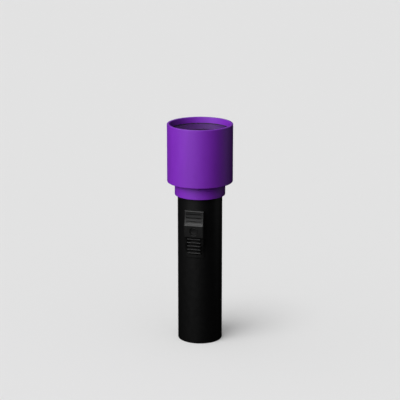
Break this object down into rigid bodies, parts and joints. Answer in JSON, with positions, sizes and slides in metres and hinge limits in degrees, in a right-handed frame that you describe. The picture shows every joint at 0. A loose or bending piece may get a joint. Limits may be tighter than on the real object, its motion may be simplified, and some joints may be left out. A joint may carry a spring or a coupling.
{
  "type": "hand torch",
  "caption": "Hand torch with a plain cylindrical battery barrel, a thumb slide switch with a push button, and a wide screw-on head whose lens is set back in its rim.",
  "frame": {"origin": "centre of the tail's resting face", "axes": "+Z along the barrel towards the head, -Y out of the thumb switch"},
  "size_m": [0.0574, 0.0574, 0.1946],
  "materials": {
    "black_plastic": "matte black moulded plastic",
    "purple_plastic": "satin purple moulded plastic",
    "smoky_lens": "smoky clear plastic",
    "rubber": "matte black rubber",
    "nickel": "nickel plate",
    "brass": "rolled brass",
    "spring_steel": "drawn steel wire",
    "cell_jacket": "plain printed sleeve",
    "bulb_glass": "clear blown glass",
    "white_plastic": "gloss white plastic",
    "reflector_mirror": "metallised bowl"
  },
  "bodies": {
    "barrel": {"barrel": "black_plastic", "barrel_o_ring": "rubber", "tail_spring": "spring_steel", "ground_strip": "brass", "head_strip": "brass"},
    "light_unit": {"rear_cell_jacket": "cell_jacket", "rear_cell_negative_plate": "nickel", "rear_cell_positive_cap": "nickel", "front_cell_jacket": "cell_jacket", "front_cell_negative_plate": "nickel", "front_cell_positive_cap": "nickel", "bulb_tip": "nickel", "bulb_insulator": "rubber", "bulb_cap": "brass", "bulb_filament": "spring_steel", "bulb_glass": "bulb_glass", "bulb_retainer": "white_plastic", "contact_ring": "brass", "reflector": "reflector_mirror"},
    "head": {"head_shell": "purple_plastic", "lens_gasket": "rubber", "lens": "smoky_lens"},
    "switch": {"thumb_slider": "black_plastic", "slide_contact": "brass", "slider_rivet_upper": "brass", "slider_rivet_lower": "brass"},
    "button": {"flash_button": "black_plastic"}
  },
  "joints": [
    {"name": "head_lift", "type": "slide", "parent": "barrel", "child": "light_unit", "axis": [0, 0, 1], "range_m": [0, 0.0053], "deforming": ["tail_spring"]},
    {"name": "head_turn", "type": "hinge", "parent": "light_unit", "child": "head", "pos_m": [0, 0, 0.1426], "axis": [0, 0, 1], "range_deg": [0, 630]},
    {"name": "switch_slide", "type": "slide", "parent": "barrel", "child": "switch", "axis": [0, 0, 1], "range_m": [0, 0.006]},
    {"name": "button_press", "type": "slide", "parent": "switch", "child": "button", "axis": [0, 1, 0], "range_m": [0, 0.0008], "stiffness_N_per_m": 800}
  ],
  "couplings": [
    {"joint": "head_lift", "follows": "head_turn", "m_per_rad": 0.00047746}
  ]
}
